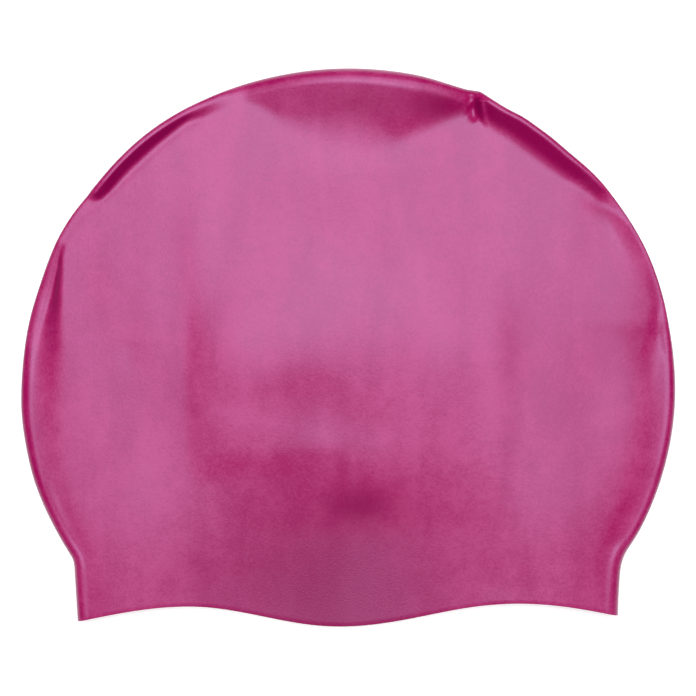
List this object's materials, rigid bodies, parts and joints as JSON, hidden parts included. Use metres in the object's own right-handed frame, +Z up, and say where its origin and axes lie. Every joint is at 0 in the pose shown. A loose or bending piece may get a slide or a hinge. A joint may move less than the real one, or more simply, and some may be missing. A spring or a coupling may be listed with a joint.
{
  "type": "swim cap",
  "caption": "Moulded silicone swim cap lying flat on its side, with a rounded fold round the dome, a short straight band and a gently waved open hem.",
  "frame": {"origin": "on the surface that the cap lies on, below the middle of its box", "axes": "+X along the hem, +Y from the hem to the crown, +Z up from the surface, through both walls"},
  "size_m": [0.225, 0.192, 0.0127],
  "materials": {
    "silicone": "satin pearl magenta silicone"
  },
  "bodies": {
    "root": {"cap_shell": "silicone"}
  },
  "joints": []
}
